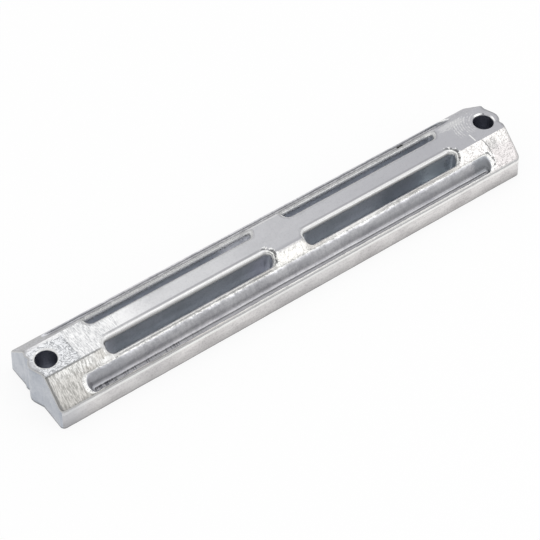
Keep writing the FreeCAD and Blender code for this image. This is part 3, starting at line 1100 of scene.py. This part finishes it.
# Base colours hold painted light and shade besides the metal's own colour: the rounded lips and the burred rim
# are painted brighter as painted highlight, the end face and the bolt holes darker as painted shade.
FINISHES_AND_PAINTED_LIGHT = {
    Zone.TOP: CastFinishAndPaintedLight(
        "flat_top", (0.57, 0.57, 0.59), (0.34, 0.35, 0.37), mottle=0.25, pits=0.7, pit_size=0.7,
        brushes=(
            Brush(0.5, 0.3, 3, (-84, 9, 5)),
            Brush(0.42, 0.5, 2.2, (-87, 5, 5)),
        ),
        marks=(
            # Painted sheen: the top is lighter towards the end of negative X.
            Mark((0.95, 0.95, 0.95), 0.85, (-84, 8, 22), None, 5),
            Mark((0.95, 0.95, 0.94), 0.16, (-42, 10, 22)),
            Mark((0.33, 0.33, 0.36), 0.5, BRIDGE, (-7.4, 0.3, 1.6), 0.3),
            # Painted shade: the top darkens towards the end of positive X.
            Mark((0.40, 0.40, 0.43), 0.6, (110, 30, 110)),
            Mark((0.82, 0.83, 0.85), 0.97, (-101.2, 7.5, 0.5), (-1.2, 7, 0.7), 1.6, veins=0.9),
            Mark(PALE, 0.4, (92, 4, 4), (7, 1.5, 2), 4, veins=0.4),
            Arc(PALE, 0.5, 104, 0, 1, (9.5, 3.5, 2), (3.5, 4.5, 2), 1.1, 0.35),
            # Painted shade lines along the top's edge where it rolls over into the near pockets' lips.
            Mark((0.34, 0.34, 0.36), 0.55, (45.5, 35.5, 3), (-3.1, 0.1, 0.5), 0.1),
            Mark((0.34, 0.34, 0.36), 0.7, (-45.5, 32.5, 6), (-3, 0.15, 0.6), 0.1),
            *BURR_HIGHLIGHTS_AND_SHADE,
            POCKET_END_HIGHLIGHT,
            Mark(DARK, 0.7, (-98, 10, 6), (-7.45, 0.12, 0.3), 0.4),
            Mark(PALE, 0.9, (94.3, 0.18, 0.2), (-4.6, 1.9, 0.3), 0.1),
            Mark(DARK, 0.5, (-93.9, 0.12, 0.2), (0.5, 3.5, 0.6), 0.5),
        ),
        coarse=(NEAR_END,)),
    Zone.SLOPE: CastFinishAndPaintedLight(
        "slope", (0.72, 0.70, 0.67), (0.25, 0.245, 0.23), mottle=0.22, pits=0.9, pit_size=0.72,
        brushes=(
            Brush(0.42, 0.24, 2.4, (-110, 22, 14)),
            Brush(0.46, 0.5, 3.2, (-104, 16, 8)),
            Brush(0.5, 0.7, 2, (-98, 7, 4)),
        ),
        marks=(
            # Painted shade: the far slope is darker than the near one, with a dark line along its land by the
            # far pockets.
            Mark((0.42, 0.42, 0.45), 0.9, (0, 130, 1), (14, 6.6, 0.2)),
            Mark((0.16, 0.16, 0.18), 0.8, (0, 84, 3), (12, 1.4, 0.3)),
            # Painted highlight on the near slope at the bridge.
            Mark((0.92, 0.91, 0.88), 0.7, (-1, 6, 3), (-12, 6, 0.2), 1),
            Mark((0.40, 0.40, 0.42), 0.6, BRIDGE, (-7.5, 0.2, 0.7), 0.3),
            # Painted highlight on the near slope towards the end of positive X.
            Mark((0.92, 0.90, 0.90), 0.5, (98, 15, 5), (-12, 6, 0.2), 2),
            Mark((0.45, 0.45, 0.45), 0.4, (100, 1.5, 2), (-10.4, 1, 1.2), 2.5, veins=0.6),
            Mark((0.50, 0.49, 0.50), 0.3, (105, 3, 4), (-14.5, 2.5, 2), 3),
            Mark(WHITE, 0.8, (-98, 7, 5), (-8.7, 0.9, 1.2), 3),
            # Painted highlights along the jagged land between the near pockets and the near groove.
            Mark(WHITE, 0.85, (-78, 8, 6), (-11.2, 0.7, 0.5), 1.2),
            Mark(WHITE, 0.5, (-45, 22, 8), (-11.3, 0.4, 0.35), 0.9),
            Mark(WHITE, 0.6, (36, 15, 8), (-11.3, 0.5, 0.35), 0.9),
            Mark((0.88, 0.87, 0.84), 0.4, (-106, 8, 6), (-10.5, 3, 2), 2),
            Mark((0.50, 0.49, 0.47), 0.25, (-110, 3, 9), (-13, 5.5, 1), 2),
            # More painted shade on the far slope near both ends.
            Mark((0.30, 0.30, 0.33), 0.6, (97, 13, 8), (12, 4, 0.5)),
            Mark((0.30, 0.30, 0.33), 0.25, (-104, 8, 8), (12, 4, 0.5)),
            Mark((0.62, 0.58, 0.58), 0.5, (104, 8, 6), (-15.5, 2.5, 3), 4),
            Arc(DARK, 0.7, 84.45, -12.44, 0.7266, (14, 0.12, 0.2), (-11.5, 4, 0.4)),
            Mark(DARK, 0.8, (-98, 10, 6), (-7.6, 0.12, 0.3), 0.4),
            Mark(DARK, 0.7, (-108.8, 0.5, 0.3), (-12, 7, 1), 0.6),
            # Painted highlight along the near groove's outer crest.
            Mark(PALE, 0.45, (34, 62, 12), (-17.4, 0.12, 0.2), 0.2),
            # Painted shade lines along the same land.
            Mark(DARK, 0.55, (60, 14, 8), (-11.3, 0.1, 0.25), 0.3),
            Mark(DARK, 0.65, (-45, 32, 8), (-11.42, 0.1, 0.22), 0.4),
            Mark(DARK, 0.2, (30, 12, 6), (-11.38, 0.1, 0.22), 0.4),
            Mark(DARK, 0.5, ALL_LONG, (-17.85, 0.08, 0.2), 0.2),
            Mark(DARK, 0.6, (-72, 16, 5), (-17.5, 0.1, 0.25), 0.4),
            # Painted highlight along the land beside the far pockets' outer lips.
            Mark(PALE, 0.5, (0, 84, 3), (9.6, 1.2, 0.4), 0.2),
            CHIP,
            NICK,
            *BURR_HIGHLIGHTS_AND_SHADE,
            POCKET_END_HIGHLIGHT,
        ),
        coarse=(FAR_END, BRIDGE)),
    Zone.SIDE: CastFinishAndPaintedLight(
        "upright_side", (0.80, 0.78, 0.77), (0.45, 0.43, 0.435), mottle=0.8, streak=0.8, foot=0.66,
        marks=(
            # Painted highlight along the upper part of the sides, and painted shade on them at the end of
            # negative X.
            Mark((0.92, 0.92, 0.90), 0.8, (0, 130, 1), None, 0.4, (8, 0.3, 0.5)),
            Mark((0.48, 0.49, 0.52), 0.6, (-110, 4, 12), None, 3),
            Mark((0.48, 0.49, 0.51), 0.18, (-80, 8, 16), None, 6),
            Mark((0.48, 0.49, 0.51), 0.18, (0, 10, 16), None, 6),
        )),
    Zone.END: CastFinishAndPaintedLight(
        "end_face", (0.52, 0.54, 0.58), (0.36, 0.39, 0.44), mottle=0.9, marks=(
            # Darker lines along the foot and the top edge of the end face at negative X; the one at the foot is
            # painted shade where it meets the floor.
            Mark((0.30, 0.32, 0.36), 0.5, (-110, 10, 1), None, 0.4, (0.3, 0.3, 0.8)),
            Mark((0.30, 0.32, 0.36), 0.4, (-110, 10, 1), None, 0.4, (18.8, 0.3, 0.7)),
        )),
    Zone.LIP: CastFinishAndPaintedLight(
        "rounded_lip", (0.74, 0.74, 0.74), (0.56, 0.56, 0.57), roughness=0.27, mottle=0.3,
        grain=0.005, swell=0.02, marks=(
            # Painted highlight on the far pockets' outer lips and at the end of the far pocket at positive X.
            Mark((0.95, 0.95, 0.95), 0.45, ALL_LONG, (11.3, 1, 0.3), 0.4, veins=0.95),
            Mark(WHITE, 1, (83.2, 1.3, 0.6), (9.9, 1.3, 0.5), 0.3),
            # Painted shade in the bevelled mouth of the bolt hole at positive X, with crescents of painted
            # highlight on it.
            Mark((0.40, 0.40, 0.43), 0.8, (104, 5.2, 0.3), (0, 5.2, 0.3)),
            Mark(WHITE, 1, (104.4, 1.3, 1), (4.5, 0.4, 0.5)),
            Mark(WHITE, 0.8, (108.6, 0.4, 0.5), (-1.4, 1.2, 1.4)),
            Mark(BLACK, 0.9, (107.1, 0.35, 0.2), (4.3, 0.8, 0.2)),
        )),
    # Near-white colour of the burred rims: painted highlight on the jagged metal; the mark is painted shade
    # that dims the near groove's outer crest towards negative X.
    Zone.RIM: CastFinishAndPaintedLight(
        "burred_rim_highlight", (0.98, 0.98, 0.96), (0.45, 0.45, 0.45), roughness=0.24, mottle=0.25,
        grain=0.03, pits=0.6, pit_size=1.2, coarse=((0, 200, 1),), marks=(
            Mark((0.45, 0.45, 0.47), 0.8, (-58, 28, 15), (-17.2, 0.5, 0.3), 0.4),
        )),
    Zone.POCKET: CastFinishAndPaintedLight(
        "pocket_wall", (0.62, 0.64, 0.68), (0.46, 0.49, 0.52), mottle=0.9, grain=0.006, marks=(
            # Painted shade deeper in the near pocket at positive X, and a painted bluish reflection near its
            # end.
            Mark((0.30, 0.33, 0.38), 0.38, (68, 16, 8), (-8, 7, 1), 4),
            Mark((0.82, 0.87, 0.90), 0.5, (75, 4, 4), (-8, 8, 1), 7),
            # Painted light on the walls of the far pockets and at the pockets' ends.
            Mark((0.72, 0.73, 0.79), 0.25, ALL_LONG, (7.2, 3.9, 0.3)),
            Mark((0.80, 0.80, 0.84), 0.5, (-82, 1.5, 5), None, 2),
            Mark((0.80, 0.80, 0.88), 0.35, (-10, 2, 5), (-7.2, 3.7, 0.3), 2),
            Mark((0.98, 0.98, 1), 0.65, (-12, 4, 6), (7.2, 3.7, 0.3), 2),
        )),
    Zone.GROOVE: CastFinishAndPaintedLight(
        "groove_wall", (0.96, 0.96, 0.99), (0.50, 0.50, 0.55), mottle=0.75, grain=0.02,
        streak=0.4, brushes=(Brush(0.25, 1.3, 3.5, ALL_LONG),), marks=(
            # Painted shade at both rounded ends of the groove and low on its wall towards positive X.
            Mark((0.60, 0.62, 0.68), 0.45, (-92, 9, 14), None, 3),
            Mark((0.45, 0.48, 0.52), 0.8, (92, 2, 3.5), None, 3),
            Mark((0.45, 0.46, 0.50), 0.35, (62, 26, 14), None, 1, (10.4, 1.5, 0.8)),
            CHIP,
            NICK,
        )),
    Zone.TROUGH: CastFinishAndPaintedLight(
        "groove_trough", (0.62, 0.62, 0.64), (0.14, 0.14, 0.16), mottle=0.15, grain=0.02,
        streak=0.15, brushes=(
            Brush(0.8, 0.5, 5, (-80, 16, 26)),
            Brush(0.7, 0.95, 5, (-88, 9, 16)),
        )),
    # The bolt holes' dark colour is painted shade inside them.
    Zone.BORE: CastFinishAndPaintedLight("bolt_hole_wall", (0.20, 0.21, 0.26), (0.08, 0.09, 0.12), roughness=0.42, mottle=1),
    Zone.UNDERSIDE: CastFinishAndPaintedLight(
        "underside", (0.58, 0.58, 0.60), (0.44, 0.44, 0.46), mottle=0.6, pits=0.3,
        coarse=((0, 200, 1),)),
}


@dataclass(frozen=True)
class SoftLamp:
    """A square area lamp. Millimetres and watts."""

    name: str
    place: Place
    aim: Place
    edge: float
    power: float

    def build(self) -> None:
        """Hang the lamp."""
        lamp = bpy.data.lights.new(self.name, "AREA")
        lamp.shape = "SQUARE"
        lamp.size = self.edge * MM
        lamp.energy = self.power
        holder = bpy.data.objects.new(self.name, lamp)
        holder.location = Vector(self.place) * MM
        holder.rotation_euler = (Vector(self.place) - Vector(self.aim)).to_track_quat("Z", "Y").to_euler()
        bpy.context.scene.collection.objects.link(holder)


@dataclass
class Studio:
    """A white floor, soft lamps and the camera."""

    floor_glow: float = 0.86
    floor_size: float = 3000.0
    azimuth: float = -36.8343
    elevation: float = 48.7531
    roll: float = 0.5556
    distance: float = 745.2
    lens: float = 126.92
    shift_x: float = -0.01216
    shift_y: float = -0.00741
    lamps: tuple[SoftLamp, ...] = (
        SoftLamp("key lamp", (330.0, -430.0, 345.0), (60.0, -10.0, 10.0), 260.0, 0.22),
        SoftLamp("overhead lamp", (180.0, -120.0, 620.0), (0.0, 0.0, 0.0), 300.0, 0.15),
        SoftLamp("back lamp", (30.0, 340.0, 486.0), (-100.0, 0.0, 19.0), 170.0, 0.05),
    )

    def seen(self, graph: Graph) -> Value:
        """Return 1 for the camera's rays and for mirrored and refracted ones, else 0."""
        path = graph.node("ShaderNodeLightPath", {}, {})
        camera, glossy, refracted = (
            Value(graph, path.outputs[f"Is {kind} Ray"]) for kind in ("Camera", "Glossy", "Transmission"))
        return camera.most(glossy).most(refracted)

    def add_floor(self) -> None:
        """Lay the white floor under the bar."""
        graph = Graph("white_floor")
        paper = graph.node("ShaderNodeBsdfDiffuse", {}, {"Color": (0.9, 0.9, 0.9, 1.0)})
        glow = graph.node("ShaderNodeEmission", {}, {"Strength": 1.0})
        mixed = graph.node("ShaderNodeMixShader", {}, {
            0: self.seen(graph) * self.floor_glow, 1: paper.outputs[0], 2: glow.outputs[0]})
        half = self.floor_size * MM / 2.0
        mesh = bpy.data.meshes.new("floor")
        mesh.from_pydata([(-half, -half, 0.0), (half, -half, 0.0), (half, half, 0.0), (-half, half, 0.0)],
                         [], [(0, 1, 2, 3)])
        mesh.materials.append(graph.close(mixed.outputs[0]))
        floor = bpy.data.objects.new("floor", mesh)
        floor.location.z = -0.3 * MM
        bpy.context.scene.collection.objects.link(floor)
        floor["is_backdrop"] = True

    def add_sky(self) -> None:
        """Surround the scene with even white light."""
        world = bpy.data.worlds.new("studio")
        world.use_nodes = True
        bpy.context.scene.world = world
        sky = world.node_tree.nodes["Background"]
        sky.inputs["Color"].default_value = (1.0, 1.0, 1.0, 1.0)
        sky.inputs["Strength"].default_value = 1.0

    def add_camera(self) -> None:
        """Place the camera where the photograph was taken from."""
        azimuth, elevation, roll = (math.radians(turn) for turn in (self.azimuth, self.elevation, self.roll))
        back = Vector((math.sin(azimuth) * math.cos(elevation), -math.cos(azimuth) * math.cos(elevation),
                       math.sin(elevation)))
        right = Vector((math.cos(azimuth), math.sin(azimuth), 0.0))
        up = back.cross(right)
        turned = right * math.cos(roll) + up * math.sin(roll)
        raised = up * math.cos(roll) - right * math.sin(roll)
        camera = bpy.data.cameras.new("camera")
        camera.lens = self.lens
        camera.sensor_width = 36.0
        camera.shift_x = self.shift_x
        camera.shift_y = self.shift_y
        camera.clip_start = 0.01
        holder = bpy.data.objects.new("camera", camera)
        pose = Matrix((turned, raised, back)).transposed().to_4x4()
        pose.translation = back * self.distance * MM
        holder.matrix_world = pose
        bpy.context.scene.collection.objects.link(holder)
        bpy.context.scene.camera = holder

    def build(self) -> None:
        """Set up the whole studio."""
        self.add_floor()
        self.add_sky()
        self.add_camera()
        for lamp in self.lamps:
            lamp.build()
        bpy.context.scene.view_settings.view_transform = "Standard"


def write_sizes() -> None:
    """Log the size of the CAD model and of the finished scene model, in metres."""
    boxes = {"cad": CAD_BOX, "scene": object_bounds()}
    plain = {name: [[float(value) for value in corner] for corner in box] for name, box in boxes.items()}
    LOG.info("sizes: %s", plain)


def main() -> None:
    """Build the bar, its finishes with their painted light and shade, and the studio around it."""
    logging.basicConfig(level=logging.INFO, format="%(name)s: %(message)s")
    bar = CastBar().build()
    for zone in Zone:
        bar.data.materials.append(FINISHES_AND_PAINTED_LIGHT[zone].build())
    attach(bar, "root")
    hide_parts(NODE)
    Studio().build()
    LOG.info("studio is ready")
    write_sizes()


if __name__ == "__main__":
    main()
